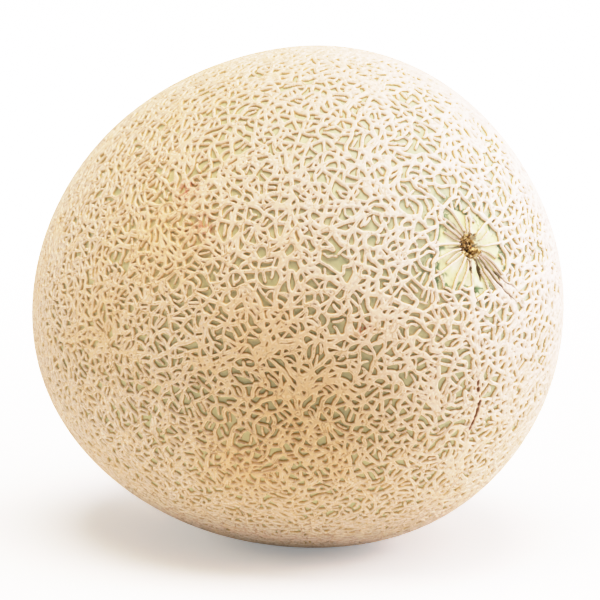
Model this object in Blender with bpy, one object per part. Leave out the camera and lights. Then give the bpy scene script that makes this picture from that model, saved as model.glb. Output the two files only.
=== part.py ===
"""A netted cantaloupe melon as picked, lying on its side on a small flat spot.

The fruit grew as one piece, so it is one solid. It is in metres with +Z up. The origin is on the
surface that the fruit rests on, at the middle of its length and width. The stem end is towards +X,
a little raised. The solid is the outside of the rind at the top of its cork net.
"""

import math

import bpy
from mathutils import Matrix, Vector

# Driving dimensions, in metres, and angles in degrees
GIRTH_RADIUS = 0.0745  # from the stem axis to the rind at the widest ring
LENGTH_RATIO = 1.16  # length from stem to blossom end, over the girth diameter
STEM_LIFT = 17  # how far the stem axis points above the horizon
RESTING_DEPTH = 0.0011  # how much of the underside the flat spot takes off

# A fruit is never a true spheroid. Each swell lifts the rind, or flattens it where the height is
# negative: bearing from +X seen from above, climb above the horizon, height, and spread.
SWELLS = (
    (60, 30, -0.0026, 28),
    (-153, 68, -0.0020, 28),
    (-134, 34, -0.0008, 28),
    (-123, -20, 0.0021, 28),
    (36, -58, 0.0036, 28),
    (47, -29, 0.0028, 28),
)

# The stem end: a wide shallow basin, and the round scar that the stem leaves when it slips off
STEM_BASIN_RADIUS = 0.016
STEM_BASIN_DEPTH = 0.0014
SCAR_RADIUS = 0.0046
SCAR_DEPTH = 0.0008
SCAR_WALL = 0.0024  # width of the slope between the rim of the scar and its floor

# The blossom end: a faint dip with a low round button
BLOSSOM_BASIN_RADIUS = 0.012
BLOSSOM_BASIN_DEPTH = 0.0012
BLOSSOM_BUTTON_RADIUS = 0.0035
BLOSSOM_BUTTON_HEIGHT = 0.0006

# The mesh: its poles are the stem and blossom ends, with rings crowded towards both
MERIDIANS = 72
RINGS = 48
CROWDING = 0.8  # 0 spaces the rings evenly, and 1 would bring them together at the poles

CUTTER_SIZE = 0.2

RIND_COLOUR = (0.80, 0.66, 0.47, 1.0)
RIND_ROUGHNESS = 0.75


def direction_of(bearing, climb):
    """The unit vector at this bearing and climb, in degrees."""
    around, above = math.radians(bearing), math.radians(climb)
    return Vector((math.cos(above) * math.cos(around), math.cos(above) * math.sin(around), math.sin(above)))


STEM_AXIS = direction_of(0, STEM_LIFT)


def hollow(distance, radius, depth):
    """How far a smooth round dip of this radius and depth lowers the surface."""
    return depth * math.exp(-((distance / radius) ** 2))


def ramp(value, start, end):
    """0 before start and 1 after end, with a smooth slope between."""
    share = min(max((value - start) / (end - start), 0.0), 1.0)
    return share * share * (3 - 2 * share)


def swell_height(direction):
    """The sum of all swells in this direction from the fruit's middle."""
    total = 0.0
    for bearing, climb, height, spread in SWELLS:
        off = 1 - direction.dot(direction_of(bearing, climb))
        total += height * math.exp(-off / (1 - math.cos(math.radians(spread))))
    return total


def end_relief(direction):
    """How far the dips at the stem and blossom ends lower the rind in this direction."""
    half_length = GIRTH_RADIUS * LENGTH_RATIO
    from_stem = half_length * direction.angle(STEM_AXIS)
    from_blossom = half_length * math.pi - from_stem
    scar = SCAR_DEPTH * (1 - ramp(from_stem, SCAR_RADIUS - SCAR_WALL, SCAR_RADIUS))
    stem = hollow(from_stem, STEM_BASIN_RADIUS, STEM_BASIN_DEPTH) + scar
    button = hollow(from_blossom, BLOSSOM_BUTTON_RADIUS, BLOSSOM_BUTTON_HEIGHT)
    return stem + hollow(from_blossom, BLOSSOM_BASIN_RADIUS, BLOSSOM_BASIN_DEPTH) - button


def rind_radius(direction):
    """The distance from the fruit's middle to its rind in this direction."""
    along = direction.dot(STEM_AXIS)
    across_squared = 1 - along * along
    half_length = GIRTH_RADIUS * LENGTH_RATIO
    spheroid = 1 / math.sqrt((along / half_length) ** 2 + across_squared / GIRTH_RADIUS**2)
    return spheroid + swell_height(direction) - end_relief(direction)


def crowded(polar):
    """The polar angle moved towards its nearer pole, so that the scar gets enough rings."""
    return polar - CROWDING * math.sin(2 * polar) / 2


def clear_scene():
    """Removes whatever objects the scene starts with."""
    for obj in list(bpy.data.objects):
        bpy.data.objects.remove(obj)


def collection_named(name):
    """A new collection in the scene."""
    collection = bpy.data.collections.new(name)
    bpy.context.scene.collection.children.link(collection)
    return collection


def move_to(obj, collection):
    """Puts the object in this collection only."""
    for old in list(obj.users_collection):
        old.objects.unlink(obj)
    collection.objects.link(obj)


def rind_material():
    """Pale tan, dull cork."""
    material = bpy.data.materials.new("netted_rind")
    material.use_nodes = True
    shader = material.node_tree.nodes["Principled BSDF"]
    shader.inputs["Base Color"].default_value = RIND_COLOUR
    shader.inputs["Roughness"].default_value = RIND_ROUGHNESS
    shader.inputs["Metallic"].default_value = 0.0
    return material


def make_melon(collection):
    """The fruit, shaped from a sphere whose poles are the stem and blossom ends."""
    bpy.ops.mesh.primitive_uv_sphere_add(segments=MERIDIANS, ring_count=RINGS, radius=1)
    melon = bpy.context.active_object
    melon.name = melon.data.name = "melon"
    lay_down = Matrix.Rotation(math.radians(90 - STEM_LIFT), 3, "Y")
    for vertex in melon.data.vertices:
        polar = crowded(vertex.co.angle(Vector((0, 0, 1))))
        around = math.atan2(vertex.co.y, vertex.co.x)
        upright = Vector((math.sin(polar) * math.cos(around), math.sin(polar) * math.sin(around), math.cos(polar)))
        direction = lay_down @ upright
        vertex.co = direction * rind_radius(direction)
    melon.data.shade_smooth()
    melon.data.materials.append(rind_material())
    move_to(melon, collection)
    return melon


def set_down(melon):
    """Places the fruit over the origin, low enough that the ground takes off the resting spot."""
    points = [vertex.co for vertex in melon.data.vertices]
    low = Vector(min(point[axis] for point in points) for axis in range(3))
    high = Vector(max(point[axis] for point in points) for axis in range(3))
    middle = (low + high) / 2
    melon.location = (-middle.x, -middle.y, -low.z - RESTING_DEPTH)


def cut_resting_spot(melon, collection):
    """Cuts the underside flat where the fruit meets the ground."""
    bpy.ops.mesh.primitive_cube_add(size=CUTTER_SIZE, location=(0, 0, -CUTTER_SIZE / 2))
    ground = bpy.context.active_object
    ground.name = "ground_cutter"
    ground.hide_render = True
    ground.display_type = "WIRE"
    move_to(ground, collection)
    cut = melon.modifiers.new("resting_spot", "BOOLEAN")
    cut.operation = "DIFFERENCE"
    cut.object = ground


def main():
    """Builds the melon."""
    clear_scene()
    melon = make_melon(collection_named("cantaloupe_melon"))
    set_down(melon)
    cut_resting_spot(melon, collection_named("cutters"))


main()
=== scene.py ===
"""A whole netted cantaloupe, lying on its side on a plain pale studio floor.

The rind is one closed mesh with the fruit's own form. Its cork net, the petal-like field round the stem
scar, the growth seams and the blossom end stand out in the mesh itself, and the materials read the same
relief, so that colour and shape always agree. Lengths in this file are in millimetres and angles in
degrees, unless a name says otherwise.
"""

import logging
import math
from collections.abc import Callable
from dataclasses import dataclass, field
from enum import Enum

import bpy
import numpy as np
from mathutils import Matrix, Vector, kdtree


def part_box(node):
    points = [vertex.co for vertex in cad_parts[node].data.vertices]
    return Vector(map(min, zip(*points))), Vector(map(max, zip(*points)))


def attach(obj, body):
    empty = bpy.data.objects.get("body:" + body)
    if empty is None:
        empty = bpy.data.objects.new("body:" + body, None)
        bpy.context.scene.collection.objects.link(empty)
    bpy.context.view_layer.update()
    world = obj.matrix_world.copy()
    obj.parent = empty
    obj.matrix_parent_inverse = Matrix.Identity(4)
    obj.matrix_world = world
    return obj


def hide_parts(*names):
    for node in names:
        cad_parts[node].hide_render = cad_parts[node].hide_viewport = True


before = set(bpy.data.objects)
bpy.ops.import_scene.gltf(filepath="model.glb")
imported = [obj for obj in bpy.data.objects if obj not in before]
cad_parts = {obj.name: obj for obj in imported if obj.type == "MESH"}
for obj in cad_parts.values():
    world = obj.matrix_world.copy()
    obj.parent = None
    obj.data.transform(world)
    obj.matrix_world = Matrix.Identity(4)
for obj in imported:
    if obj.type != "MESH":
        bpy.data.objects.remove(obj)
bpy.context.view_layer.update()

log = logging.getLogger("melon")

MM = 0.001  # metres in a millimetre

# ---------------------------------------------------------------- small tools


def unit(vectors: np.ndarray) -> np.ndarray:
    """The vectors at length 1."""
    return vectors / np.linalg.norm(vectors, axis=-1, keepdims=True)


def ramp(values: np.ndarray, start: float, end: float) -> np.ndarray:
    """A smooth step.

    Args:
        values: what to step over.
        start: where the result is still 0.
        end: where the result has reached 1. It may be below start.

    Returns:
        The step's height for each value.
    """
    share = np.clip((values - start) / (end - start), 0, 1)
    return share * share * (3 - 2 * share)


def heading(bearing: float, climb: float) -> np.ndarray:
    """The unit vector at this bearing from +X and this climb above the horizon."""
    around, above = math.radians(bearing), math.radians(climb)
    level = math.cos(above)
    return np.array([level * math.cos(around), level * math.sin(around), math.sin(above)])


def tree_of(points: np.ndarray) -> kdtree.KDTree:
    """A search tree over the points."""
    tree = kdtree.KDTree(len(points))
    for index, point in enumerate(points):
        tree.insert(point, index)
    tree.balance()
    return tree


def apart(points: np.ndarray, spacing: np.ndarray | float) -> np.ndarray:
    """Which points to keep so that none has a kept one before it nearer than its own spacing.

    Args:
        points: the points, in the order in which they are taken.
        spacing: one distance for all of them, or one for each.

    Returns:
        True for each point that is kept.
    """
    tree = tree_of(points)
    keep = np.ones(len(points), dtype=bool)
    reach = np.broadcast_to(spacing, len(points))
    for index, point in enumerate(points):
        if keep[index]:
            for _, other, _ in tree.find_range(point, reach[index]):
                keep[other] = other <= index and keep[other]
    return keep


class Ripples:
    """A smooth random field in space: many plane waves of about one length, added up."""

    WAVES = 26

    def __init__(self, length: float, seed: int) -> None:
        """Draws the waves.

        Args:
            length: the usual distance between two crests.
            seed: picks one field among many.
        """
        rng = np.random.default_rng(seed)
        spread = rng.uniform(0.7, 1.5, (self.WAVES, 1))
        turns = unit(rng.normal(size=(self.WAVES, 3))) * spread * (2 * math.pi / length)
        self.vectors = turns.astype(np.float32)
        self.phases = rng.uniform(0, 2 * math.pi, self.WAVES).astype(np.float32)

    def at(self, points: np.ndarray) -> np.ndarray:
        """The field's value at each point, mostly between -2 and 2."""
        waves = np.sin(points.astype(np.float32) @ self.vectors.T + self.phases)
        return waves.sum(-1) * math.sqrt(2 / self.WAVES)


def drift(points: np.ndarray, length: float, seed: int) -> np.ndarray:
    """A smooth random push in space.

    Args:
        points: where to read it.
        length: the usual distance between two crests.
        seed: of the first of its three fields, whose seeds follow each other.

    Returns:
        One push for each point.
    """
    return np.stack([Ripples(length, seed + axis).at(points) for axis in range(3)], axis=-1)


def stations_of(course: tuple[tuple[float, float], ...]) -> tuple[np.ndarray, np.ndarray]:
    """The distances and the clock angles of places along a course, with no jump in the angles."""
    places = np.array(course, dtype=float)
    return places[:, 0], np.degrees(np.unwrap(np.radians(places[:, 1])))


# ---------------------------------------------------------------- the fruit's form


@dataclass(frozen=True)
class Swell:
    """A place where the fruit stands out from a true spheroid, or is flatter than one."""

    bearing: float
    climb: float
    height: float
    spread: float = 28.0

    def lift(self, directions: np.ndarray) -> np.ndarray:
        """How far it lifts the rind in each direction from the fruit's middle."""
        off = 1 - directions @ heading(self.bearing, self.climb)
        return self.height * np.exp(-off / (1 - math.cos(math.radians(self.spread))))


@dataclass
class FruitForm:
    """The rind's smooth outside, which the top of the cork net follows."""

    girth_radius: float = 74.5
    length_ratio: float = 1.16
    stem_lift: float = 17.0
    swells: tuple[Swell, ...] = (
        Swell(60, 30, -2.6),
        Swell(-153, 68, -2.0),
        Swell(-134, 34, -0.8),
        Swell(-123, -20, 2.1),
        Swell(36, -58, 3.6),
        Swell(47, -29, 2.8),
    )
    stem_basin_radius: float = 16.0
    stem_basin_depth: float = 1.4
    scar_radius: float = 4.6
    scar_depth: float = 0.8
    scar_wall: float = 2.4
    blossom_basin_radius: float = 12.0
    blossom_basin_depth: float = 1.2
    blossom_button_radius: float = 3.5
    blossom_button_height: float = 0.6
    fit_points: int = 40000  # on which the form is measured
    size_factor: float = field(init=False, default=1.0)
    shift: np.ndarray = field(init=False, default_factory=lambda: np.zeros(3))

    def __post_init__(self) -> None:
        """Fits the form to the fruit's own box in the frame."""
        self.stem = heading(0, self.stem_lift)
        self.stem_up = heading(180, 90 - self.stem_lift)
        self.stem_side = np.array([0.0, 1.0, 0.0])
        low, high = (np.array(corner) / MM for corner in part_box("melon"))
        spiral = fibonacci_directions(self.fit_points)
        points = self.surface(spiral)
        self.size_factor = (high[0] - low[0]) / np.ptp(points[:, 0])
        points = self.surface(spiral)
        self.shift = (low + high) / 2 - (points.min(0) + points.max(0)) / 2
        self.shift[2] = high[2] - points[:, 2].max()
        self.ground = low[2]

    @property
    def half_length(self) -> float:
        """From the middle of the fruit to its stem end."""
        return self.girth_radius * self.length_ratio

    def stem_distance(self, directions: np.ndarray) -> np.ndarray:
        """How far each direction's place is from the stem end, along the rind."""
        return self.half_length * np.arccos(np.clip(directions @ self.stem, -1, 1))

    def clock(self, directions: np.ndarray) -> np.ndarray:
        """Each direction's angle round the stem: 0 upwards, and positive towards +Y."""
        return np.degrees(np.arctan2(directions @ self.stem_side, directions @ self.stem_up))

    def near_stem(self, distance: np.ndarray, clock: np.ndarray) -> np.ndarray:
        """The directions of places given by their distance from the stem end and their clock angle."""
        polar = np.asarray(distance)[..., None] / self.half_length
        around = np.radians(clock)[..., None]
        level = np.cos(around) * self.stem_up + np.sin(around) * self.stem_side
        return np.cos(polar) * self.stem + np.sin(polar) * level

    def end_relief(self, directions: np.ndarray) -> np.ndarray:
        """How far the dips at the stem and blossom ends lower the rind."""
        from_stem = self.stem_distance(directions)
        from_blossom = self.half_length * math.pi - from_stem
        scar = self.scar_depth * ramp(from_stem, self.scar_radius, self.scar_radius - self.scar_wall)
        stem = self.stem_basin_depth * np.exp(-((from_stem / self.stem_basin_radius) ** 2))
        dip = self.blossom_basin_depth * np.exp(-((from_blossom / self.blossom_basin_radius) ** 2))
        button = self.blossom_button_height * np.exp(-((from_blossom / self.blossom_button_radius) ** 2))
        return stem + scar + dip - button

    def radius(self, directions: np.ndarray) -> np.ndarray:
        """The distance from the fruit's middle to the rind in each direction."""
        along = directions @ self.stem
        squares = (along / self.half_length) ** 2 + (1 - along**2) / self.girth_radius**2
        swells = sum(swell.lift(directions) for swell in self.swells)
        return 1 / np.sqrt(squares) + swells - self.end_relief(directions)

    def surface(self, directions: np.ndarray, depth: np.ndarray | float = 0.0) -> np.ndarray:
        """Points of the rind in the frame.

        Args:
            directions: unit vectors from the fruit's middle.
            depth: how far below the top of the net each point lies.

        Returns:
            The points, in millimetres.
        """
        reach = self.radius(directions) * self.size_factor - depth
        return directions * reach[..., None] + self.shift


def fibonacci_directions(count: int) -> np.ndarray:
    """Unit vectors spread evenly over a sphere along one spiral, whose axis is +Z."""
    step = np.arange(count)
    height = 1 - (2 * step + 1) / count
    around = step * math.pi * (3 - math.sqrt(5))
    level = np.sqrt(1 - height**2)
    return np.stack([level * np.cos(around), level * np.sin(around), height], axis=-1)


# ---------------------------------------------------------------- the mesh that carries the relief


class RindGrid:
    """Six square grids folded over the fruit, on which the relief is drawn and then meshed."""

    SIDES = (
        ((1, 0, 0), (0, 1, 0), (0, 0, 1)),
        ((-1, 0, 0), (0, -1, 0), (0, 0, 1)),
        ((0, 1, 0), (-1, 0, 0), (0, 0, 1)),
        ((0, -1, 0), (1, 0, 0), (0, 0, 1)),
        ((0, 0, 1), (0, 1, 0), (-1, 0, 0)),
        ((0, 0, -1), (0, 1, 0), (1, 0, 0)),
    )
    GATHER = 0.38  # how much finer the grids are at the stem end
    GATHER_ANGLE = 13.0
    FINE_REACH = 45.0  # mm from the stem end within which they are finer
    MAP_COLUMNS, MAP_ROWS = 3, 2
    MAP_GAP = 0.004  # share of the map left free round each grid
    TABLE_STEPS = 4000  # of the table that turns laid angles back into even ones
    DAB_REACH = 4.2  # how many standard deviations of a dab are drawn
    SIDE_REACH = 0.3  # a dab farther round from a grid's middle than this can't touch it
    CORNER_STEPS = 1_000_000  # grid corners that agree to this share of a unit are one
    CORNER_BASE = 4_000_003

    def __init__(self, form: FruitForm, cells: int) -> None:
        """Lays the grids out.

        Args:
            form: the fruit's smooth form.
            cells: how many cells each grid has along a side.
        """
        self.form = form
        self.cells = cells
        self.count = cells + 1
        turn = np.linspace(-math.pi / 4, math.pi / 4, self.count)
        self.step = turn[1] - turn[0]
        across, up = np.meshgrid(np.tan(turn), np.tan(turn), indexing="ij")
        self.axes = np.array(self.SIDES, dtype=float)
        out, right, over = (self.axes[:, None, None, number] for number in range(3))
        self.even = unit(out + across[..., None] * right + up[..., None] * over)
        self.directions = self.turned(self.even, self.gathered)
        self.points = form.surface(self.directions)

    def gathered(self, polar: np.ndarray) -> np.ndarray:
        """The angle from the stem at which a grid point of this even angle is laid."""
        return polar * (1 - self.GATHER * np.exp(-((polar / math.radians(self.GATHER_ANGLE)) ** 2)))

    def evened(self, polar: np.ndarray) -> np.ndarray:
        """The even angle of a place at this angle from the stem."""
        even = np.linspace(0, math.pi, self.TABLE_STEPS)
        return np.interp(polar, self.gathered(even), even)

    def turned(self, directions: np.ndarray, change: Callable[[np.ndarray], np.ndarray]) -> np.ndarray:
        """The directions with their angles from the stem changed."""
        along = np.clip(directions @ self.form.stem, -1, 1)
        polar = change(np.arccos(along))[..., None]
        level = directions - along[..., None] * self.form.stem
        level /= np.maximum(np.linalg.norm(level, axis=-1, keepdims=True), 1e-12)
        return np.cos(polar) * self.form.stem + np.sin(polar) * level

    def drawn(self, strokes: "Strokes") -> np.ndarray:
        """Draws soft round dabs on the rind, which add up to smooth strokes.

        Args:
            strokes: the dabs. A dab's width is its standard deviation along the rind.

        Returns:
            The sum of the dabs at every grid point.
        """
        fine = self.form.stem_distance(strokes.places) < self.FINE_REACH
        total = np.zeros(self.directions.shape[:3])
        for chosen, spacing in ((fine, 1 - self.GATHER), (~fine, 1.0)):
            if chosen.any():
                total += self.dabbed(strokes.only(chosen), spacing)
        return total

    def dabbed(self, strokes: "Strokes", spacing: float) -> np.ndarray:
        """Draws the dabs of one part of the rind.

        Args:
            strokes: the dabs.
            spacing: how close the grid points are there, as a share of their usual spacing.

        Returns:
            The sum of the dabs at every grid point.
        """
        middles = self.form.surface(strokes.places)
        places = self.turned(strokes.places, self.evened)
        reach = self.DAB_REACH * strokes.width.max()
        window = math.ceil(reach / (self.step * self.form.girth_radius * spacing))
        half = self.cells / 2
        result = np.zeros(self.directions.shape[:3])
        for side, (out, across, up) in enumerate(self.axes):
            depth = places @ out
            ahead = depth > self.SIDE_REACH
            column = np.arctan2(places[ahead] @ across, depth[ahead]) / self.step + half
            row = np.arctan2(places[ahead] @ up, depth[ahead]) / self.step + half
            near = (np.abs(column - half) < half + window) & (np.abs(row - half) < half + window)
            column, row = np.rint(column[near]).astype(int), np.rint(row[near]).astype(int)
            middle = middles[ahead][near]
            height, spread = strokes.strength[ahead][near], 2 * strokes.width[ahead][near] ** 2
            total = np.zeros(self.count**2)
            for right in range(-window, window + 1):
                for over in range(-window, window + 1):
                    at_column, at_row = column + right, row + over
                    low, high = np.minimum(at_column, at_row), np.maximum(at_column, at_row)
                    inside = (low >= 0) & (high <= self.cells)
                    at_column, at_row = at_column[inside], at_row[inside]
                    gap = self.points[side, at_column, at_row] - middle[inside]
                    dab = height[inside] * np.exp(-(gap**2).sum(-1) / spread[inside])
                    total += np.bincount(at_column * self.count + at_row, weights=dab, minlength=total.size)
            result[side] = total.reshape(self.count, self.count)
        return result

    def mesh(self, name: str, points: np.ndarray, layers: dict[str, np.ndarray]) -> bpy.types.Mesh:
        """Sews the six grids into one closed mesh.

        Args:
            name: the mesh's name.
            points: the grid points in their final places, in millimetres.
            layers: named values at each grid point, for the materials.

        Returns:
            The mesh, in metres, with a square of the map for each grid.
        """
        keys = np.round(self.even.reshape(-1, 3) * self.CORNER_STEPS).astype(np.int64)
        code = (keys[:, 0] * self.CORNER_BASE + keys[:, 1]) * self.CORNER_BASE + keys[:, 2]
        _, first, index = np.unique(code, return_index=True, return_inverse=True)
        index = index.reshape(len(self.SIDES), self.count, self.count)
        corners = np.stack(
            [index[:, :-1, :-1], index[:, 1:, :-1], index[:, 1:, 1:], index[:, :-1, 1:]], axis=-1
        )
        quads = corners.reshape(-1, 4)
        mesh = bpy.data.meshes.new(name)
        mesh.vertices.add(len(first))
        mesh.vertices.foreach_set("co", (points.reshape(-1, 3)[first] * MM).astype(np.float32).ravel())
        mesh.loops.add(quads.size)
        mesh.loops.foreach_set("vertex_index", quads.ravel().astype(np.int32))
        mesh.polygons.add(len(quads))
        mesh.polygons.foreach_set("loop_start", np.arange(0, quads.size, 4, dtype=np.int32))
        flat_map = mesh.uv_layers.new(name="OFBake")
        flat_map.data.foreach_set("uv", self.map_corners().astype(np.float32).ravel())
        for layer, values in layers.items():
            held = mesh.attributes.new(layer, "FLOAT", "POINT")
            held.data.foreach_set("value", values.reshape(-1)[first].astype(np.float32))
        mesh.update(calc_edges=True)
        mesh.validate()
        mesh.shade_smooth()
        return mesh

    def map_corners(self) -> np.ndarray:
        """Where each corner of each face lies on the map, face by face."""
        across, up = np.meshgrid(np.arange(self.cells), np.arange(self.cells), indexing="ij")
        square = np.stack(
            [np.stack([across + a, up + b], axis=-1) for a, b in ((0, 0), (1, 0), (1, 1), (0, 1))], axis=-2
        )
        scale = np.array([1 / self.MAP_COLUMNS, 1 / self.MAP_ROWS])
        placed = []
        for side in range(len(self.SIDES)):
            corner = np.array([side % self.MAP_COLUMNS, side // self.MAP_COLUMNS]) * scale
            placed.append(corner + self.MAP_GAP + square / self.cells * (scale - 2 * self.MAP_GAP))
        return np.array(placed).reshape(-1, 2)


# ---------------------------------------------------------------- the cork net


class Ridge(Enum):
    """What a ridge of the net is."""

    GONE = 0  # never formed
    STUB = 1  # a dead end that stops inside a cell
    LINK = 2  # joins two knots
    VEIN = 3  # part of a long thick ridge that runs over many cells


@dataclass
class Strokes:
    """Soft dabs that draw lines on the rind: where they are, how strong, and how wide."""

    places: np.ndarray
    strength: np.ndarray
    width: np.ndarray

    @staticmethod
    def along(
        places: np.ndarray, width: np.ndarray | float, form: FruitForm, weight: np.ndarray | float = 1.0
    ) -> "Strokes":
        """Lines through rows of directions.

        Args:
            places: one row of directions for each line.
            width: each dab's or line's standard deviation.
            form: the fruit's smooth form.
            weight: each dab's or line's strength, where 1 makes a line of height 1.

        Returns:
            The dabs of all the lines.
        """
        step = np.linalg.norm(np.diff(form.surface(places), axis=-2), axis=-1)
        between = (step[..., 1:] + step[..., :-1]) / 2
        spacing = np.concatenate([step[..., :1] / 2, between, step[..., -1:] / 2], axis=-1)
        width = np.broadcast_to(width, spacing.shape)
        strength = weight * spacing / (width * math.sqrt(2 * math.pi))
        return Strokes(places.reshape(-1, 3), strength.ravel(), width.ravel())

    def only(self, chosen: np.ndarray) -> "Strokes":
        """The dabs for which chosen is true."""
        return Strokes(self.places[chosen], self.strength[chosen], self.width[chosen])

    @staticmethod
    def joined(parts: "list[Strokes]") -> "Strokes":
        """All the parts as one."""
        return Strokes(
            np.concatenate([part.places for part in parts]),
            np.concatenate([part.strength for part in parts]),
            np.concatenate([part.width for part in parts]),
        )


@dataclass
class RidgeProfile:
    """How a ridge of cork rises from the skin to its rounded top.

    The sizes are those of an ordinary ridge, and a wider or thinner ridge has them all in proportion.
    """

    half_width: float = 0.5  # from the middle line to half way up
    blend: float = 0.22  # how softly two ridges grow together
    foot: float = 0.64  # from the middle line to where it meets the skin
    top: float = 0.12  # from the middle line to where the top is flat
    farthest: float = 1.0

    def strokes(self, course: np.ndarray, half_width: np.ndarray | float, form: FruitForm) -> Strokes:
        """Strokes that stand for ridges.

        Args:
            course: one row of directions for each ridge.
            half_width: of each ridge or each place, half way up.
            form: the fruit's smooth form.

        Returns:
            The dabs of all the ridges.
        """
        return Strokes.along(course, self.blend / self.half_width * half_width, form)

    def distance(self, drawn: np.ndarray) -> np.ndarray:
        """The distance from the nearest middle line that a drawn height stands for."""
        gap = self.blend * np.sqrt(-2 * np.log(np.clip(drawn, 1e-9, 1)))
        return np.minimum(gap, self.farthest)

    def rise(self, distance: np.ndarray) -> np.ndarray:
        """The ridge's height there, from 0 on the skin to 1 on top."""
        share = np.clip((self.foot - distance) / (self.foot - self.top), 0, 1)
        return share * (2 - share)


@dataclass
class CorkNet:
    """The raised net of cork: knots joined by ridges, long veins, dead ends, and fingers in wide cells."""

    profile: RidgeProfile = field(default_factory=RidgeProfile)
    candidates: int = 40000  # places from which the knots are drawn
    knot_spacing: float = 2.5  # at least, between two knots
    coarser: float = 0.3  # how much that varies from patch to patch
    patch_length: float = 24.0
    stem_stretch: float = 0.42  # how much wider the cells are at the stem end
    stem_thinning: float = 0.2  # how much thinner the ridges are there
    longest: float = 6.5
    neighbours: int = 10  # tried as partners of each knot
    clear_share: float = 0.985  # of the circle between two joined knots, that holds no third
    stub_share: float = 0.1
    gap_share: float = 0.08
    stub_reach: tuple[float, float] = (0.5, 0.8)
    veins: int = 240
    vein_steps: tuple[int, int] = (6, 24)
    vein_turn: float = 0.55  # cosine of the sharpest turn that a vein takes
    bow: float = 0.11  # sideways bend of a ridge over its length
    wobble: float = 0.2
    wobble_length: float = 4.5
    unevenness: float = 0.08  # of a ridge's width along it
    unevenness_length: float = 2.6
    sweep: float = 0.75  # how far broad flows carry the net, which draws its cells out
    sweep_length: float = 17.0
    samples: int = 18  # dabs along each ridge
    link_width: tuple[float, float] = (0.42, 0.6)  # half widths, half way up
    stub_width: tuple[float, float] = (0.34, 0.46)
    vein_width: tuple[float, float] = (0.55, 0.73)
    finger_width: tuple[float, float] = (0.3, 0.46)
    finger_rooms: tuple[float, ...] = (1.35, 1.15)  # each round's distance from any ridge
    finger_spacing: float = 2.4  # between the fingers of one round
    finger_length: float = 1.2  # to each side of its start, at most
    finger_gap: float = 0.62  # left free at its tip
    finger_places: int = 60000
    finger_border: float = 0.5  # kept free outside the petal field
    finger_turn: float = 2.4  # how far their common heading turns from patch to patch
    finger_patch: float = 7.0
    finger_scatter: float = 0.7  # how far each one's heading strays from it
    finger_touch: float = 0.12  # from the ridge that its root reaches
    finger_overlap: float = 0.15
    finger_samples: int = 14
    finger_bow: float = 0.16
    seed: int = 11

    def lay_out(self, form: FruitForm, bare: "StemEnd") -> None:
        """Scatters the knots over the rind and joins them.

        Args:
            form: the fruit's smooth form.
            bare: the stem end, round whose scar the rind has no net.
        """
        self.form = form
        self.bare = bare
        self.rng = np.random.default_rng(self.seed)
        spiral = self.scattered(fibonacci_directions(self.candidates))
        spiral = spiral[self.rng.permutation(len(spiral))]
        polar = np.arccos(np.clip(spiral[:, 2], -1, 1))
        around = np.degrees(np.arctan2(spiral[:, 1], spiral[:, 0]))
        places = form.near_stem(polar * form.half_length, around)
        places = places[bare.field_depth(places) < 0]
        points = form.surface(places)
        spacing = self.knot_spacing + self.coarser * Ripples(self.patch_length, 9).at(points)
        self.places = places[apart(points, spacing * (1 + self.stem_stretch * bare.nearness(places)))]
        self.points = form.surface(self.places)
        self.join()
        self.sort()

    def scattered(self, places: np.ndarray) -> np.ndarray:
        """The places, each moved a little at random."""
        spacing = math.sqrt(4 * math.pi / len(places))
        return unit(places + self.rng.normal(size=places.shape) * spacing / 2)

    def join(self) -> None:
        """Joins each pair of knots that has no third knot in the circle between them."""
        tree = tree_of(self.points)
        ends = []
        for index, point in enumerate(self.points):
            for other_point, other, gap in tree.find_n(point, self.neighbours):
                if other <= index or gap > self.longest:
                    continue
                middle = (Vector(point) + other_point) / 2
                if tree.find(middle)[2] > gap / 2 * self.clear_share:
                    ends.append((index, other))
        self.ends = np.array(ends)

    def sort(self) -> None:
        """Decides what each ridge is."""
        count = len(self.ends)
        draw = self.rng.random(count)
        self.kinds = np.full(count, Ridge.LINK.value)
        self.kinds[draw < self.stub_share + self.gap_share] = Ridge.STUB.value
        self.kinds[draw < self.gap_share] = Ridge.GONE.value
        self.kinds[self.vein_ridges()] = Ridge.VEIN.value

    def vein_ridges(self) -> list[int]:
        """Follows the straightest way from knot to knot, from many starts."""
        touching: list[list[tuple[int, int]]] = [[] for _ in self.points]
        for ridge, (start, end) in enumerate(self.ends):
            touching[start].append((ridge, end))
            touching[end].append((ridge, start))
        chosen: list[int] = []
        for _ in range(self.veins):
            ridge = int(self.rng.integers(len(self.ends)))
            before, here = self.ends[ridge]
            for _ in range(int(self.rng.integers(*self.vein_steps))):
                chosen.append(ridge)
                course = unit(self.points[here] - self.points[before])
                ahead = [
                    (float(unit(self.points[end] - self.points[here]) @ course), next_ridge, end)
                    for next_ridge, end in touching[here]
                    if end != before
                ]
                if not ahead or max(ahead)[0] < self.vein_turn:
                    break
                _, ridge, end = max(ahead)
                before, here = here, end
        return chosen

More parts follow.
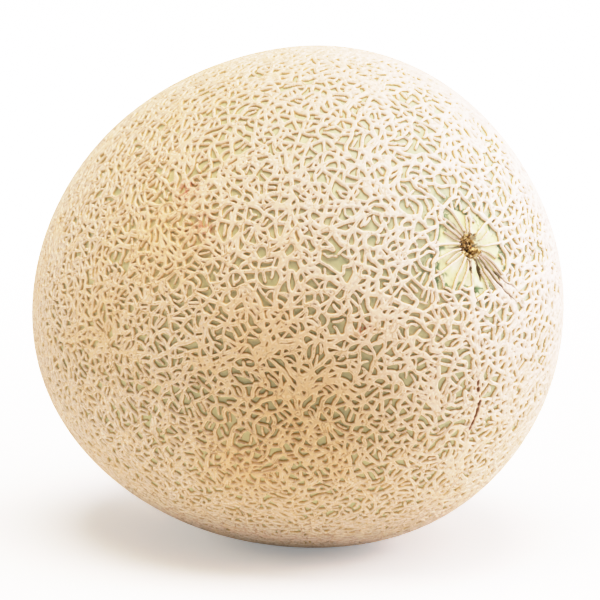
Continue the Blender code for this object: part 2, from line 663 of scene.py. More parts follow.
    def strokes(self) -> Strokes:
        """The ridges and the fingers as strokes."""
        shown = self.kinds != Ridge.GONE.value
        ends, kinds = self.ends[shown], self.kinds[shown]
        swap = self.rng.random(len(ends)) < 0.5
        ends[swap] = ends[swap][:, ::-1]
        start, end = self.places[ends[:, 0]], self.places[ends[:, 1]]
        stub, vein = kinds == Ridge.STUB.value, kinds == Ridge.VEIN.value
        reach = np.where(stub, self.rng.uniform(*self.stub_reach, len(ends)), 1.0)
        share = np.linspace(0, 1, self.samples) * reach[:, None]
        side = np.cross(start, end - start)
        bend = np.sin(share * math.pi) * self.rng.normal(size=(len(ends), 1)) * self.bow
        course = start[:, None] + share[..., None] * (end - start)[:, None]
        course = course + bend[..., None] * side[:, None]
        width = self.rng.uniform(*self.link_width, len(ends))
        width = np.where(stub, self.rng.uniform(*self.stub_width, len(ends)), width)
        width = np.where(vein, self.rng.uniform(*self.vein_width, len(ends)), width)
        parts = [self.wobbled(self.swept(unit(course)), width)]
        for room in self.finger_rooms:
            parts.append(self.fingers(Strokes.joined(parts).places, room))
        return Strokes.joined(parts)

    def swept(self, course: np.ndarray) -> np.ndarray:
        """The courses carried along by the broad flows in which the rind stretched as it grew."""
        points = self.form.surface(course)
        push = drift(points, self.sweep_length, 51)
        free = (1 - self.bare.nearness(course))[..., None]
        return unit(course + push * free * self.sweep / self.form.girth_radius)

    def wobbled(self, course: np.ndarray, width: np.ndarray) -> Strokes:
        """Ridges along the courses, made uneven in line and width."""
        points = self.form.surface(course)
        push = drift(points, self.wobble_length, 4)
        course = unit(course + push * self.wobble / self.form.girth_radius)
        uneven = 1 + self.unevenness * Ripples(self.unevenness_length, 7).at(points)
        thin = 1 - self.stem_thinning * self.bare.nearness(course)
        return self.profile.strokes(course, width[:, None] * uneven * thin, self.form)

    def fingers(self, taken: np.ndarray, room: float) -> Strokes:
        """Spurs in the cells that are wide enough, which lie alongside each other.

        Args:
            taken: the directions of places along the ridges so far.
            room: a finger starts only this far from any ridge.

        Returns:
            Fingers that each join a ridge at one end and stop short of one at the other.
        """
        tree = tree_of(self.form.surface(taken))
        places = self.scattered(fibonacci_directions(self.finger_places))
        places = places[self.bare.field_depth(places) < -self.finger_border]
        points = self.form.surface(places)
        gaps = np.array([tree.find(point)[2] for point in points])
        places, points = places[gaps > room], points[gaps > room]
        free = apart(points, self.finger_spacing)
        places, points = places[free], points[free]
        turn = Ripples(self.finger_patch, 8).at(points) * self.finger_turn
        turn = turn + self.rng.normal(scale=self.finger_scatter, size=len(points))
        across = unit(np.cross(places, self.form.stem))
        along = np.cross(across, places)
        lean = np.cos(turn)[:, None] * along + np.sin(turn)[:, None] * across
        way = lean * self.rng.choice([-1, 1], (len(lean), 1)) / self.form.girth_radius
        joined = self.reach(tree, places, way, self.finger_touch) + self.finger_overlap
        stopped = self.reach(tree, places, -way, self.finger_gap)
        share = np.linspace(-1, 1, self.finger_samples)
        run = np.where(share > 0, joined[:, None] * share, stopped[:, None] * share)
        bend = self.rng.normal(scale=self.finger_bow, size=(len(run), 1)) * run**2
        course = places[:, None] + way[:, None] * run[..., None]
        course = course + np.cross(places, way)[:, None] * bend[..., None]
        width = self.rng.uniform(*self.finger_width, len(places))
        log.info("%d fingers with %.2f mm of room", len(places), room)
        return self.wobbled(unit(course), width)

    def reach(self, tree: kdtree.KDTree, places: np.ndarray, way: np.ndarray, stop: float) -> np.ndarray:
        """How far each finger runs before a ridge is near.

        Args:
            tree: the places along the ridges.
            places: where the fingers start, as directions.
            way: where they head, as the change of direction for each millimetre.
            stop: the distance from a ridge at which a finger ends.

        Returns:
            Each finger's length to that side.
        """
        stride = 0.2
        length = np.zeros(len(places))
        running = np.ones(len(places), dtype=bool)
        for _ in range(round(self.finger_length / stride)):
            points = self.form.surface(unit(places + way * (length[:, None] + stride)))
            for index in np.flatnonzero(running):
                running[index] = tree.find(points[index])[2] >= stop
            length += stride * running
        return length


# ---------------------------------------------------------------- the two ends of the fruit


@dataclass(frozen=True)
class Ray:
    """One pale cork ray that runs out from the stem scar."""

    clock: float
    reach: float
    bend: float = 0.0  # how far its outer end turns round the stem
    width: float = 0.42  # half width, half way up


@dataclass(frozen=True)
class Wrinkle:
    """A narrow dry furrow: places along it as distance from the stem end and clock angle."""

    course: tuple[tuple[float, float], ...]
    depth: float
    width: float = 0.35


@dataclass
class StemEnd:
    """The scar that the stem leaves, in a smooth field that cork rays cut into petals."""

    rays: tuple[Ray, ...] = (
        Ray(-50, 12.0, 6, 0.3),
        Ray(-36, 10.5, -5, 0.2),
        Ray(-18, 12.5, -8, 0.28),
        Ray(-2, 7.5, 5, 0.17),
        Ray(14, 9.7, -6, 0.24),
        Ray(46, 9.8, 9, 0.26),
        Ray(70, 7.0, -5, 0.16),
        Ray(93, 11.5, -4, 0.26),
        Ray(112, 8.5, 5, 0.17),
        Ray(126, 15.0, 8, 0.28),
        Ray(134, 19.0, 4, 0.2),
        Ray(143, 22.0, -3, 0.24),
        Ray(153, 19.0, -4, 0.19),
        Ray(164, 14.0, -3, 0.22),
        Ray(-170, 16.0, -4, 0.2),
        Ray(-158, 12.0, 6, 0.24),
        Ray(-140, 15.0, -6, 0.28),
        Ray(-121, 15.5, 5, 0.26),
        Ray(-108, 9.0, -5, 0.17),
        Ray(-98, 13.5, -6, 0.28),
        Ray(-78, 12.0, -7, 0.3),
        Ray(-64, 8.5, 4, 0.17),
    )
    wrinkles: tuple[Wrinkle, ...] = (
        Wrinkle(((2.4, -146), (4.5, -160), (6.8, -169), (8.2, -173)), 1.0, 0.24),
        Wrinkle(((2.4, 162), (5.5, 165), (8.7, 168), (11.0, 168)), 1.0, 0.25),
        Wrinkle(((3.6, 148), (7.0, 152), (10.0, 150)), 0.6, 0.18),
        Wrinkle(((4.5, 150), (8.0, 148), (13.0, 147), (19.0, 141), (27.0, 140)), 0.75, 0.2),
        Wrinkle(((7.0, 140), (12.0, 138), (18.0, 134), (24.0, 132)), 0.6, 0.18),
        Wrinkle(((3.0, -30), (6.0, -29), (9.0, -32), (12.0, -34)), 0.5, 0.2),
        Wrinkle(((3.0, -58), (6.0, -60), (9.0, -58)), 0.5, 0.2),
        Wrinkle(((3.0, -86), (6.0, -88), (9.5, -90)), 0.5, 0.2),
        Wrinkle(((8.0, -178), (14.0, -176), (20.0, 178)), 0.5, 0.26),
    )
    ragged: float = 0.9  # how far the field's edge wanders
    rim: float = 3.8
    # painted highlight: a pale patch on the scar's lit side
    scar_highlight_place: tuple[float, float] = (4.3, 74.0)  # distance from the stem end, and clock angle
    scar_highlight_size: float = 2.9
    influence: float = 21.0  # how far from it the net is still coarser
    edge_ray: float = 9.5  # rays longer than this reach the edge of the petal field
    field_reach: float = 14.5  # of the field at most
    edge_inset: float = 0.6  # from a ray's end back to the field's edge
    samples: int = 140  # dabs along each ray and wrinkle
    form: FruitForm = field(init=False)  # given by bound

    def bound(self, form: FruitForm) -> None:
        """Keeps the fruit's form."""
        self.form = form

    def field_depth(self, directions: np.ndarray) -> np.ndarray:
        """How far inside the edge of the petal field each direction's place lies."""
        long_rays = [ray for ray in self.rays if ray.reach > self.edge_ray]
        rays = sorted(long_rays, key=lambda ray: ray.clock + ray.bend)
        clocks = np.array([ray.clock + ray.bend for ray in rays])
        reach = np.array([min(ray.reach, self.field_reach) for ray in rays]) - self.edge_inset
        clocks = np.concatenate([clocks - 360, clocks, clocks + 360])
        edge = np.interp(self.form.clock(directions), clocks, np.tile(reach, 3))
        wander = Ripples(3.6, 15).at(self.form.surface(directions)) * self.ragged
        return edge + wander - self.form.stem_distance(directions)

    def scar_highlight(self, directions: np.ndarray) -> np.ndarray:
        """How strongly the painted highlight lies on the scar, on the side that the lights fall on."""
        middle = self.form.near_stem(np.array(self.scar_highlight_place[0]), np.array(self.scar_highlight_place[1]))
        gap = self.form.half_length * np.arccos(np.clip(directions @ middle, -1, 1))
        return ramp(gap, self.scar_highlight_size, self.scar_highlight_size / 3)

    def nearness(self, directions: np.ndarray) -> np.ndarray:
        """From 1 at the stem end down to 0 far from it."""
        return np.exp(-((self.form.stem_distance(directions) / self.influence) ** 2))

    def ray_strokes(self, profile: RidgeProfile) -> Strokes:
        """The cork rays."""
        parts = []
        for number, ray in enumerate(self.rays):
            share = np.linspace(0, 1, self.samples)
            distance = self.rim + (ray.reach + 1.2 - self.rim) * share
            wander = np.sin(share * 7 + number) * 1.6 * (1 - share)
            course = self.form.near_stem(distance, ray.clock + ray.bend * share**2 + wander)
            parts.append(profile.strokes(course[None], ray.width * (0.85 + 0.5 * share), self.form))
        return Strokes.joined(parts)

    def furrows(self) -> Strokes:
        """The dry wrinkles that run out of the scar."""
        parts = []
        for wrinkle in self.wrinkles:
            distances, clocks = stations_of(wrinkle.course)
            number = np.arange(len(clocks))
            share = np.linspace(0, len(clocks) - 1, self.samples)
            distance = np.interp(share, number, distances)
            clock = np.interp(share, number, clocks)
            course = self.form.near_stem(distance, clock + np.sin(share * 5) * 1.2)
            taper = np.sqrt(np.sin(np.linspace(0.25, math.pi, self.samples)).clip(0))
            parts.append(Strokes.along(course[None], wrinkle.width, self.form, wrinkle.depth * taper[None]))
        return Strokes.joined(parts)


@dataclass
class BlossomEnd:
    """The small corky button where the flower was."""

    button: float = 4.2
    ring: float = 3.2  # radius of the broken crease round the button
    ring_width: float = 0.34
    middle: float = 1.0  # radius of the small hollow in it

    def creases(self, form: FruitForm, directions: np.ndarray) -> np.ndarray:
        """How deep each direction's place lies in the button's creases, from 0 to 1."""
        distance = form.half_length * math.pi - form.stem_distance(directions)
        broken = ramp(Ripples(2.6, 61).at(form.surface(directions)), -0.6, 0.5)
        ring = np.exp(-(((distance - self.ring) / self.ring_width) ** 2))
        return ring * broken + np.exp(-((distance / self.middle) ** 2))

    def knob(self, form: FruitForm, directions: np.ndarray) -> np.ndarray:
        """How corky each direction's place is, from 0 to 1, on and round the button."""
        distance = form.half_length * math.pi - form.stem_distance(directions)
        return ramp(distance, self.button + 0.8, self.button - 0.8)


@dataclass(frozen=True)
class Seam:
    """A long growth seam: places along it as distance from the stem end and clock angle."""

    course: tuple[tuple[float, float], ...]
    crack: tuple[float, float]  # where along it the cork has split, as shares of its length
    width: float = 0.6  # half width of its cork, half way up


@dataclass
class GrowthSeams:
    """Seams that run from the stem end towards the blossom end, corky and split in places."""

    seams: tuple[Seam, ...] = (
        Seam(((12, -170), (24, -176), (39, 176), (55, 175), (80, 172)), (0.38, 0.72)),
        Seam(((8, 153), (22, 143), (37, 142), (55, 153), (75, 158)), (0.0, 0.0), 0.5),
        Seam(((16, -60), (45, -66), (90, -70), (140, -66)), (0.0, 0.0), 0.5),
        Seam(((18, 60), (60, 52), (110, 55), (160, 60)), (0.0, 0.0), 0.5),
        Seam(((15, 110), (60, 104), (120, 108), (180, 112)), (0.0, 0.0), 0.5),
    )
    split_width: float = 0.32
    stride: float = 0.25  # between the dabs along a seam
    shake: float = 0.8  # how far a seam strays from its course
    raggedness: float = 0.5  # of a split's strength

    def strokes(self, form: FruitForm, profile: RidgeProfile) -> tuple[Strokes, Strokes]:
        """The seams' cork and their splits."""
        cork, splits = [], []
        for number, seam in enumerate(self.seams):
            distances, clocks = stations_of(seam.course)
            distance = np.arange(distances[0], distances[-1], self.stride)
            clock = np.interp(distance, distances, clocks)
            course = form.near_stem(distance, clock)
            shake = Ripples(9, 20 + number).at(form.surface(course)) * self.shake
            course = unit(course + np.cross(course, form.stem) * (shake / form.girth_radius)[:, None])
            cork.append(profile.strokes(course[None], seam.width, form))
            share = np.linspace(0, 1, len(distance))
            start, end = seam.crack
            if end > start:
                open_share = np.sin(((share - start) / (end - start)).clip(0, 1) * math.pi) ** 0.5
                ragged = 1 + self.raggedness * Ripples(1.6, 40 + number).at(form.surface(course))
                weight = (open_share * ragged).clip(0)[None]
                splits.append(Strokes.along(course[None], self.split_width, form, weight))
        return Strokes.joined(cork), Strokes.joined(splits)


@dataclass(frozen=True)
class TintOrLightPatch:
    """A patch of another tint on the rind, or of painted light or shade."""

    bearing: float
    climb: float
    size: float
    strength: float = 1.0

    def tint(self, directions: np.ndarray, form: FruitForm) -> np.ndarray:
        """How strong the patch is in each direction."""
        gap = form.girth_radius * np.arccos(np.clip(directions @ heading(self.bearing, self.climb), -1, 1))
        return self.strength * np.exp(-((gap / self.size) ** 2))


def together(patches: tuple[TintOrLightPatch, ...], directions: np.ndarray, form: FruitForm) -> np.ndarray:
    """How strong the patches are together in each direction, at most 1."""
    return np.clip(sum(patch.tint(directions, form) for patch in patches), 0, 1)


# ---------------------------------------------------------------- finishes


def linear(colour: str) -> tuple[float, float, float, float]:
    """An sRGB hex colour as linear light, with alpha 1."""
    parts = [int(colour[start : start + 2], 16) / 255 for start in (1, 3, 5)]
    red, green, blue = (
        part / 12.92 if part <= 0.04045 else ((part + 0.055) / 1.055) ** 2.4 for part in parts
    )
    return red, green, blue, 1.0


@dataclass(frozen=True)
class Cork:
    """Dried wound cork of the net: matt, bone-pale at the edges of a ridge and tanner along its top."""

    # painted shade: foot and shade darken each ridge down its sides into the crease where it meets the
    # skin; shade also tints its random streaks
    foot: str = "#98772C"
    shade: str = "#CFB072"
    rim: str = "#F3E2CC"
    crown: str = "#E1C5A2"
    slit: str = "#A9834C"
    warm: str = "#E9C083"
    # painted light: the paler colour of the cork's tops on the lit upper right side
    painted_light_pale: str = "#F7E9DE"
    painted_shade_tint: str = "#ECDAB4"  # painted shade: what the cork's colour is multiplied by on the shaded lower front
    streak: float = 0.9
    strand: float = 2.1  # between the slits of broad places
    roughness: float = 0.8
    grain: float = 0.42  # size of the crumbs of cork
    grain_height: float = 0.07
    mottle: float = 9.0


@dataclass(frozen=True)
class WaxySkin:
    """Thin waxed skin on the floors of the net's cells: dull grey-green with a soft sheen."""

    floor: str = "#C6C191"
    green: str = "#9FA87A"
    gold: str = "#D8BC78"
    # painted light: the paler colour of the cells' floors on the lit upper right side
    painted_light_pale: str = "#C6CBB2"
    # painted shade: the darker colour of the cells' floors on the shaded lower front
    olive: str = "#968E5A"
    petal: str = "#DAD8A4"
    petal_pale: str = "#E8E4C4"
    petal_edge: str = "#566F3E"
    roughness: float = 0.46
    pores: float = 0.8
    pore_height: float = 0.02
    mottle: float = 2.6


@dataclass(frozen=True)
class DryScar:
    """Torn stem fibres that have dried: crumbly, golden brown with near-black gaps."""

    gap: str = "#2A2210"
    bark: str = "#7A5526"
    fibre: str = "#BC9A50"
    tip: str = "#E4DCB4"
    # painted highlight on the scar's lit side
    scar_highlight: str = "#E6E6C8"
    furrow: str = "#5F4A24"
    crack: str = "#7E5228"
    fleck: str = "#B0623C"
    roughness: float = 0.92
    crumb: float = 1.1


class NodeBoard:
    """A material's node tree while it is being wired."""

    def __init__(self, name: str) -> None:
        """Starts an empty material of this name."""
        self.material = bpy.data.materials.new(name)
        self.material.use_nodes = True
        self.tree = self.material.node_tree
        self.tree.nodes.clear()
        self.places = self.add("TexCoord").outputs["Object"]

    def add(self, kind: str, settings: dict | None = None, links: dict | None = None) -> bpy.types.Node:
        """Adds one node.

        Args:
            kind: the node's type name, without the ShaderNode prefix.
            settings: properties by name, and input values by socket name or number.
            links: the sockets that feed its inputs, by socket name or number.

        Returns:
            The node.
        """
        node = self.tree.nodes.new("ShaderNode" + kind)
        for name, value in (settings or {}).items():
            if isinstance(name, str) and hasattr(node, name):
                setattr(node, name, value)
            else:
                node.inputs[name].default_value = value
        for name, source in (links or {}).items():
            self.tree.links.new(source, node.inputs[name])
        return node

    def layer(self, name: str) -> bpy.types.NodeSocket:
        """The value that the mesh holds under this name."""
        return self.add("Attribute", {"attribute_name": name}).outputs["Fac"]

    def step(self, value: bpy.types.NodeSocket, start: float, end: float) -> bpy.types.NodeSocket:
        """A smooth step from 0 to 1 between two values of the source."""
        settings = {"interpolation_type": "SMOOTHSTEP", "From Min": start, "From Max": end}
        return self.add("MapRange", settings, {"Value": value}).outputs["Result"]

    def maths(self, operation: str, *operands: "bpy.types.NodeSocket | float") -> bpy.types.NodeSocket:
        """An operation on sockets and numbers."""
        numbers = {place: item for place, item in enumerate(operands) if isinstance(item, (int, float))}
        sockets = {place: item for place, item in enumerate(operands) if place not in numbers}
        return self.add("Math", {"operation": operation, **numbers}, sockets).outputs[0]

    def part(
        self, value: bpy.types.NodeSocket, share: "bpy.types.NodeSocket | float"
    ) -> bpy.types.NodeSocket:
        """This share of a value."""
        return self.maths("MULTIPLY", value, share)

    def noise(self, size: float, detail: float = 2.0, roughness: float = 0.5) -> bpy.types.NodeSocket:
        """Cloudy noise, from about 0.2 to 0.8, whose patches are about this many millimetres."""
        settings = {"Scale": 1 / (size * MM), "Detail": detail, "Roughness": roughness}
        return self.add("TexNoise", settings, {"Vector": self.places}).outputs[0]

    def noise_colour(self, size: float) -> bpy.types.NodeSocket:
        """Cloudy noise in three independent parts."""
        return self.add("TexNoise", {"Scale": 1 / (size * MM)}, {"Vector": self.places}).outputs["Color"]

    def blend(
        self,
        share: "bpy.types.NodeSocket | float",
        under: "bpy.types.NodeSocket | str",
        over: "bpy.types.NodeSocket | str",
        way: str = "MIX",
    ) -> bpy.types.NodeSocket:
        """One colour over another by this share."""
        settings: dict = {"data_type": "RGBA", "blend_type": way}
        links: dict = {}
        for place, item in ((0, share), (6, under), (7, over)):
            if isinstance(item, str):
                settings[place] = linear(item)
            elif isinstance(item, (int, float)):
                settings[place] = item
            else:
                links[place] = item
        return self.add("Mix", settings, links).outputs[2]

    def shades(
        self, value: bpy.types.NodeSocket, stops: tuple[tuple[float, str], ...]
    ) -> bpy.types.NodeSocket:
        """Colours along a value: pairs of a value and its colour, in rising order."""
        node = self.add("ValToRGB", {}, {0: value})
        for number, (place, colour) in enumerate(stops):
            stop = node.color_ramp.elements[number] if number < 2 else node.color_ramp.elements.new(place)
            stop.position = place
            stop.color = linear(colour)
        return node.outputs[0]


@dataclass
class Rind:
    """The rind's finish: cork over waxed skin, with the dry scar at the stem end."""

    cork: Cork = field(default_factory=Cork)
    skin: WaxySkin = field(default_factory=WaxySkin)
    scar: DryScar = field(default_factory=DryScar)

    def material(self) -> bpy.types.Material:
        """Wires the finish."""
        board = NodeBoard("cork_netted_waxed_rind")
        grain = board.noise(self.cork.grain, 3, 0.6)
        distance = board.layer("ridge_distance")
        gap = board.maths("ADD", distance, board.maths("MULTIPLY_ADD", grain, 0.16, -0.08))
        cover = board.step(gap, 0.7, 0.6)
        colour = board.blend(cover, self.skin_colour(board), self.cork_colour(board, gap))
        colour = board.blend(board.step(board.layer("dry"), 0.15, 0.6), colour, self.scar.furrow)
        colour = board.blend(board.step(board.layer("split"), 0.12, 0.7), colour, self.scar.crack)
        fleck = board.part(board.layer("fleck"), board.step(board.noise(1.3, 2), 0.46, 0.62))
        colour = board.blend(fleck, colour, self.scar.fleck)
        scarred = board.layer("scar")
        colour = board.blend(scarred, colour, self.scar_colour(board))
        roughness = board.add(
            "MapRange", {"To Min": self.skin.roughness, "To Max": self.cork.roughness}, {"Value": cover}
        )
        rough = board.maths("MAXIMUM", roughness.outputs[0], board.part(scarred, self.scar.roughness))
        pore_share = self.skin.pore_height / self.cork.grain_height
        pores = board.part(board.noise(self.skin.pores, 2), pore_share)
        height = board.add("Mix", {}, {0: cover, 2: pores, 3: grain}).outputs[0]
        bump = board.add("Bump", {"Distance": self.cork.grain_height * MM * 4}, {"Height": height})
        shader = board.add("BsdfPrincipled", {"IOR": 1.45}, {"Base Color": colour, "Roughness": rough})
        board.tree.links.new(bump.outputs[0], shader.inputs["Normal"])
        board.add("OutputMaterial", {}, {"Surface": shader.outputs[0]})
        return board.material

    def cork_colour(self, board: NodeBoard, gap: bpy.types.NodeSocket) -> bpy.types.NodeSocket:
        """The net's colour, from a ridge's crown to its foot."""
        # Painted shade: the shade and foot stops darken the ridge's lower sides and the crease at its foot.
        stops = (
            (0.09, self.cork.crown),
            (0.24, self.cork.rim),
            (0.38, self.cork.rim),
            (0.52, self.cork.shade),
            (0.66, self.cork.foot),
        )
        colour = board.shades(gap, stops)
        streak = board.step(board.noise(self.cork.streak, 2), 0.5, 0.66)
        colour = board.blend(board.part(streak, 0.35), colour, self.cork.shade)
        warmth = board.step(board.noise(self.cork.mottle, 3), 0.45, 0.8)
        colour = board.blend(board.part(warmth, 0.35), colour, self.cork.warm)
        colour = board.blend(board.part(board.layer("gold"), 0.55), colour, self.cork.warm)
        # Painted shade: the cork is painted darker on the shaded lower front.
        colour = board.blend(board.layer("tan"), colour, self.cork.painted_shade_tint, "MULTIPLY")
        # Painted light: on the lit side the top and sides of each ridge are painted paler.
        painted_light_pale = board.part(board.layer("pale"), board.step(gap, 0.56, 0.4))
        colour = board.blend(board.part(painted_light_pale, 0.85), colour, self.cork.painted_light_pale)
        slit = self.slits(board, gap)
        # Painted light: the slits are painted fainter on the lit side.
        slit = board.part(slit, board.maths("MULTIPLY_ADD", board.layer("pale"), -0.6, 0.7))
        return board.blend(slit, colour, self.cork.slit)

    def slits(self, board: NodeBoard, gap: bpy.types.NodeSocket) -> bpy.types.NodeSocket:
        """Where the broad places of the net show the slits between the strands that grew together there."""
        scale = {"operation": "SCALE", "Scale": 0.6 * MM}
        bent = board.add("VectorMath", scale, {0: board.noise_colour(1.0)}).outputs[0]
        places = board.add("VectorMath", {"operation": "ADD"}, {0: board.places, 1: bent}).outputs[0]
        settings = {"feature": "DISTANCE_TO_EDGE", "Scale": 1 / (self.cork.strand * MM)}
        edge = board.add("TexVoronoi", settings, {"Vector": places}).outputs["Distance"]
        slit = board.step(edge, 0.1, 0.03)
        inside = board.step(gap, 0.32, 0.1)
        some = board.step(board.noise(3.4, 1), 0.48, 0.57)
        return board.part(slit, board.part(inside, some))

    def skin_colour(self, board: NodeBoard) -> bpy.types.NodeSocket:
        """The colour of the cells' floors and of the petals round the scar."""
        patches = board.step(board.noise(self.skin.mottle, 2), 0.35, 0.7)
        near = board.step(board.layer("stem_distance"), 60.0, 14.0)
        share = board.part(patches, board.maths("MULTIPLY_ADD", near, 0.55, 0.35))
        colour = board.blend(share, self.skin.floor, self.skin.green)
        # Painted light: the floors are painted paler on the lit side.
        colour = board.blend(board.part(board.layer("pale"), 0.8), colour, self.skin.painted_light_pale)
        # Painted shade: the floors are painted darker and olive on the shaded lower front.
        colour = board.blend(board.part(board.layer("tan"), 0.8), colour, self.skin.olive)
        colour = board.blend(board.part(board.layer("gold"), 0.4), colour, self.skin.gold)
        depth = board.layer("petal")
        beside = board.part(board.step(depth, -9.0, -1.0), board.step(board.noise(2.0, 2), 0.44, 0.62))
        colour = board.blend(board.part(beside, 0.85), colour, self.skin.petal_edge)
        petal = board.blend(board.step(board.noise(5.0), 0.42, 0.62), self.skin.petal, self.skin.petal_pale)
        edge = board.part(board.step(depth, 2.4, 0.2), board.step(board.noise(2.2, 2), 0.4, 0.54))
        petal = board.blend(edge, petal, self.skin.petal_edge)
        return board.blend(board.step(depth, -0.4, 0.4), colour, petal)

    def scar_colour(self, board: NodeBoard) -> bpy.types.NodeSocket:
        """The scar's torn fibres, with a painted highlight on its lit side."""
        crumbs = board.noise(self.scar.crumb, 3, 0.65)
        stops = (
            (0.38, self.scar.gap),
            (0.46, self.scar.bark),
            (0.54, self.scar.fibre),
            (0.66, self.scar.tip),
        )
        torn = board.shades(crumbs, stops)
        # Painted highlight: the scar's lit side is painted pale.
        return board.blend(board.part(board.layer("scar_highlight"), 0.85), torn, self.scar.scar_highlight)


# ---------------------------------------------------------------- the melon


@dataclass
class Melon:
    """The whole fruit: its form, net, ends, seams and marks, and the finish that they share."""

    form: FruitForm = field(default_factory=FruitForm)
    net: CorkNet = field(default_factory=CorkNet)
    stem_end: StemEnd = field(default_factory=StemEnd)
    blossom_end: BlossomEnd = field(default_factory=BlossomEnd)
    seams: GrowthSeams = field(default_factory=GrowthSeams)
    finish: Rind = field(default_factory=Rind)
    cells: int = 420  # along each side of the six grids
    net_height: float = 1.05
    furrow_depth: float = 0.7
    split_depth: float = 0.6
    scar_depth: float = -0.2
    scar_crumbs: float = 0.34
    golden_patches: tuple[TintOrLightPatch, ...] = (
        TintOrLightPatch(-66, 20, 15),
        TintOrLightPatch(-74, 38, 34, 0.32),
        TintOrLightPatch(-46, 5, 9, 0.6),
        TintOrLightPatch(-51, -31, 14, 0.8),
        TintOrLightPatch(-9, 4, 10, 0.5),
        TintOrLightPatch(-85, 0, 16, 0.7),
        TintOrLightPatch(120, 30, 18, 0.6),
        TintOrLightPatch(170, -10, 20, 0.7),
    )
    # painted light: the upper right side, where the lights fall, is painted paler
    painted_light_side: TintOrLightPatch = TintOrLightPatch(26, 30, 64)
    # painted shade: the lower front, which faces away from the lights, is painted darker and warmer
    painted_shade_side: TintOrLightPatch = TintOrLightPatch(-33, -13, 34)
    flecks: tuple[TintOrLightPatch, ...] = (
        TintOrLightPatch(-64, 31, 3.5, 0.9),
        TintOrLightPatch(-58, 23, 4.0, 0.7),
        TintOrLightPatch(-24, 3, 1.6, 1.0),
        TintOrLightPatch(100, 20, 3.5, 0.7),
        TintOrLightPatch(-170, 30, 4.0, 0.7),
    )

    def build(self) -> bpy.types.Object:
        """Draws the relief, sews the mesh and dresses it.

        Returns:
            The melon, riding on its body and standing for the solid.
        """
        self.stem_end.bound(self.form)
        grid = RindGrid(self.form, self.cells)
        self.net.lay_out(self.form, self.stem_end)
        log.info("net of %d knots and %d ridges", len(self.net.places), len(self.net.ends))
        layers = self.relief(grid)
        points = self.form.surface(grid.directions, layers.pop("depth"))
        points[..., 2] = np.maximum(points[..., 2], self.form.ground)
        melon = bpy.data.objects.new("netted_melon", grid.mesh("netted_melon", points, layers))
        bpy.context.scene.collection.objects.link(melon)
        melon.data.materials.append(self.finish.material())
        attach(melon, "root")
        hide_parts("melon")
        log.info("melon of %d faces", len(melon.data.polygons))
        return melon

    def relief(self, grid: RindGrid) -> dict[str, np.ndarray]:
        """The rind's depth under the top of the net, and the layers that the finish reads."""
        profile = self.net.profile
        cork_seams, splits = self.seams.strokes(self.form, profile)
        strokes = Strokes.joined([self.net.strokes(), self.stem_end.ray_strokes(profile), cork_seams])
        drawn = grid.drawn(strokes)
        furrow, split = grid.drawn(self.stem_end.furrows()), grid.drawn(splits)
        furrow = furrow + self.blossom_end.creases(self.form, grid.directions)
        stem = self.form.stem_distance(grid.directions)
        crumbs = Ripples(1.7, 31).at(grid.points) + Ripples(0.9, 33).at(grid.points) * 0.5
        scar = ramp(stem + crumbs * 0.35, self.stem_end.rim + 0.5, self.stem_end.rim - 0.4)
        drawn = drawn + self.blossom_end.knob(self.form, grid.directions)
        gap = profile.distance(drawn)
        rise = profile.rise(gap)
        grain = Ripples(1.1, 32).at(grid.points) * 0.02 * rise
        depth = self.net_height * (1 - rise) - grain + furrow * self.furrow_depth + split * self.split_depth
        depth = depth + scar * (self.scar_depth + self.scar_crumbs * crumbs)
        return {
            "depth": np.maximum(depth, 0),
            "ridge_distance": gap,
            "petal": self.stem_end.field_depth(grid.directions),
            "stem_distance": stem,
            "dry": np.clip(furrow, 0, 1),
            "split": np.clip(split, 0, 1),
            "scar": scar,
            # painted highlight on the scar's lit side
            "scar_highlight": self.stem_end.scar_highlight(grid.directions),
            "gold": together(self.golden_patches, grid.directions, self.form),
            # painted light on the lit upper right side
            "pale": self.painted_light_side.tint(grid.directions, self.form),
            # painted shade on the lower front
            "tan": self.painted_shade_side.tint(grid.directions, self.form),
            "fleck": together(self.flecks, grid.directions, self.form),
        }


# ---------------------------------------------------------------- the studio


@dataclass(frozen=True)
class Softbox:
    """A square soft light that faces the fruit."""

    name: str
    bearing: float
    climb: float
    distance: float
    size: float
    power: float
    colour: str = "#FFFFFF"

    def hang(self, target: Vector) -> None:
        """Adds the light, aimed at the target."""
        light = bpy.data.lights.new(self.name, "AREA")
        light.shape, light.size, light.energy = "SQUARE", self.size * MM, self.power
        light.color = linear(self.colour)[:3]
        lamp = bpy.data.objects.new(self.name, light)
        towards = Vector(heading(self.bearing, self.climb))
        lamp.location = target + towards * (self.distance * MM)
        lamp.rotation_euler = towards.to_track_quat("Z", "Y").to_euler()
        bpy.context.scene.collection.objects.link(lamp)


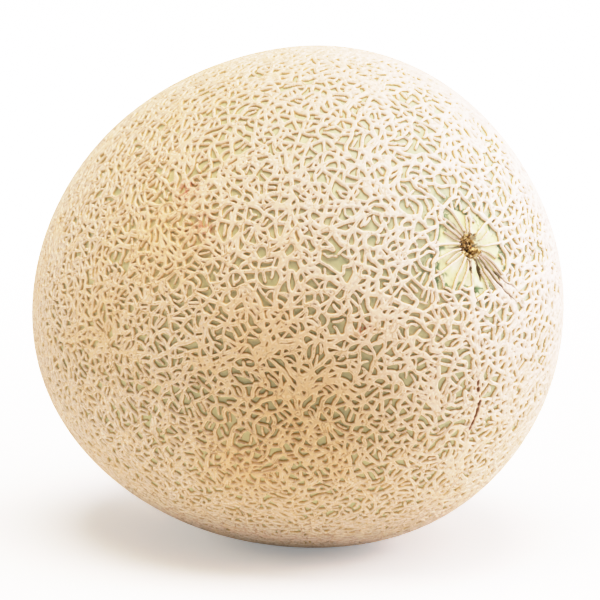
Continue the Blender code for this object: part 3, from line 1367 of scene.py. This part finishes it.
@dataclass
class Studio:
    """A plain pale floor, soft light and the camera."""

    azimuth: float = 53.2
    elevation: float = 10.0
    distance: float = 900.0
    lens: float = 180.3
    sensor: float = 36.0
    aim_right: float = 1.08
    aim_up: float = -1.9
    floor_radius: float = 6000.0
    floor_colour: str = "#F4F3F1"
    floor_glow: float = 0.3  # beside the fruit
    backdrop_glow: float = 2.0  # from floor_reach outwards
    floor_reach: float = 900.0
    sky: float = 0.03
    lights: tuple[Softbox, ...] = (
        Softbox("top", -35.5, 75, 3300, 2000, 150, "#FFF4EF"),
        Softbox("rim_right", 64.5, 15, 3300, 2000, 126, "#F8F1FF"),
        Softbox("key_right", 24.5, 45, 3300, 2000, 54, "#FAF7FF"),
        Softbox("fill_left", -135.5, 15, 3300, 2000, 52, "#FDF8F4"),
    )
    shoulder: tuple[tuple[float, float], ...] = (
        (0.0, 0.0),
        (0.3, 0.3),
        (0.55, 0.55),
        (1.0, 0.835),
        (1.5, 0.945),
        (1.9, 0.978),
        (3.0, 1.0),
    )  # scene light and the light it prints as, like the shoulder of film

    def build(self, middle: np.ndarray) -> None:
        """Sets everything up round the fruit's middle, given in millimetres."""
        target = Vector(middle) * MM
        self.lay_floor()
        self.light_sky()
        for light in self.lights:
            light.hang(target)
        self.place_camera(target)
        self.grade()
        log.info("studio with %d lights", len(self.lights))

    def grade(self) -> None:
        """Rolls the brightest light off softly, so that pale cork in full light keeps its colour."""
        view = bpy.context.scene.view_settings
        view.view_transform = "Standard"
        view.use_curve_mapping = True
        brightest = self.shoulder[-1][0]
        view.curve_mapping.white_level = (brightest,) * 3
        points = view.curve_mapping.curves[3].points
        for light, printed in self.shoulder[1:-1]:
            points.new(light / brightest, printed)
        for point, (light, printed) in zip(points, self.shoulder):
            point.location = (light / brightest, printed)
        view.curve_mapping.update()

    def lay_floor(self) -> None:
        """Lays a wide round floor of pale matt paper."""
        bpy.ops.mesh.primitive_circle_add(vertices=128, radius=self.floor_radius * MM, fill_type="NGON")
        floor = bpy.context.active_object
        floor.name = "floor"
        board = NodeBoard("pale_matt_paper")
        white = linear(self.floor_colour)
        away = board.add("VectorMath", {"operation": "LENGTH"}, {0: board.places})
        glow = board.add(
            "MapRange",
            {"From Max": self.floor_reach * MM, "To Min": self.floor_glow, "To Max": self.backdrop_glow},
            {"Value": away.outputs["Value"]},
        )
        seen = board.maths("MULTIPLY", glow.outputs[0], board.add("LightPath").outputs["Is Camera Ray"])
        settings = {"Base Color": white, "Roughness": 0.95, "Emission Color": white}
        shader = board.add("BsdfPrincipled", settings, {"Emission Strength": seen})
        board.add("OutputMaterial", {}, {"Surface": shader.outputs[0]})
        floor.data.materials.append(board.material)

    def light_sky(self) -> None:
        """Lights the room evenly, and keeps it white where it shows."""
        world = bpy.data.worlds.new("white_room")
        bpy.context.scene.world = world
        world.use_nodes = True
        nodes, links = world.node_tree.nodes, world.node_tree.links
        background = nodes["Background"]
        path = nodes.new("ShaderNodeLightPath")
        strength = nodes.new("ShaderNodeMapRange")
        strength.inputs["To Min"].default_value = self.sky
        strength.inputs["To Max"].default_value = self.backdrop_glow
        links.new(path.outputs["Is Camera Ray"], strength.inputs["Value"])
        links.new(strength.outputs["Result"], background.inputs["Strength"])
        background.inputs["Color"].default_value = (1, 1, 1, 1)

    def place_camera(self, target: Vector) -> None:
        """Places the camera on the side where the stem scar shows to the right."""
        back = Vector(heading(self.azimuth - 90, self.elevation))
        right = Vector(heading(self.azimuth, 0))
        aim = target + (right * self.aim_right + back.cross(right) * self.aim_up) * MM
        camera = bpy.data.cameras.new("camera")
        camera.lens, camera.sensor_width = self.lens, self.sensor
        eye = bpy.data.objects.new("camera", camera)
        eye.location = aim + back * (self.distance * MM)
        eye.rotation_euler = back.to_track_quat("Z", "Y").to_euler()
        bpy.context.scene.collection.objects.link(eye)
        bpy.context.scene.camera = eye


def main() -> None:
    """Builds the melon and then the studio round it."""
    logging.basicConfig(level=logging.INFO, format="%(message)s")
    melon = Melon()
    melon.build()
    Studio().build(melon.form.shift)


if __name__ == "__main__":
    main()
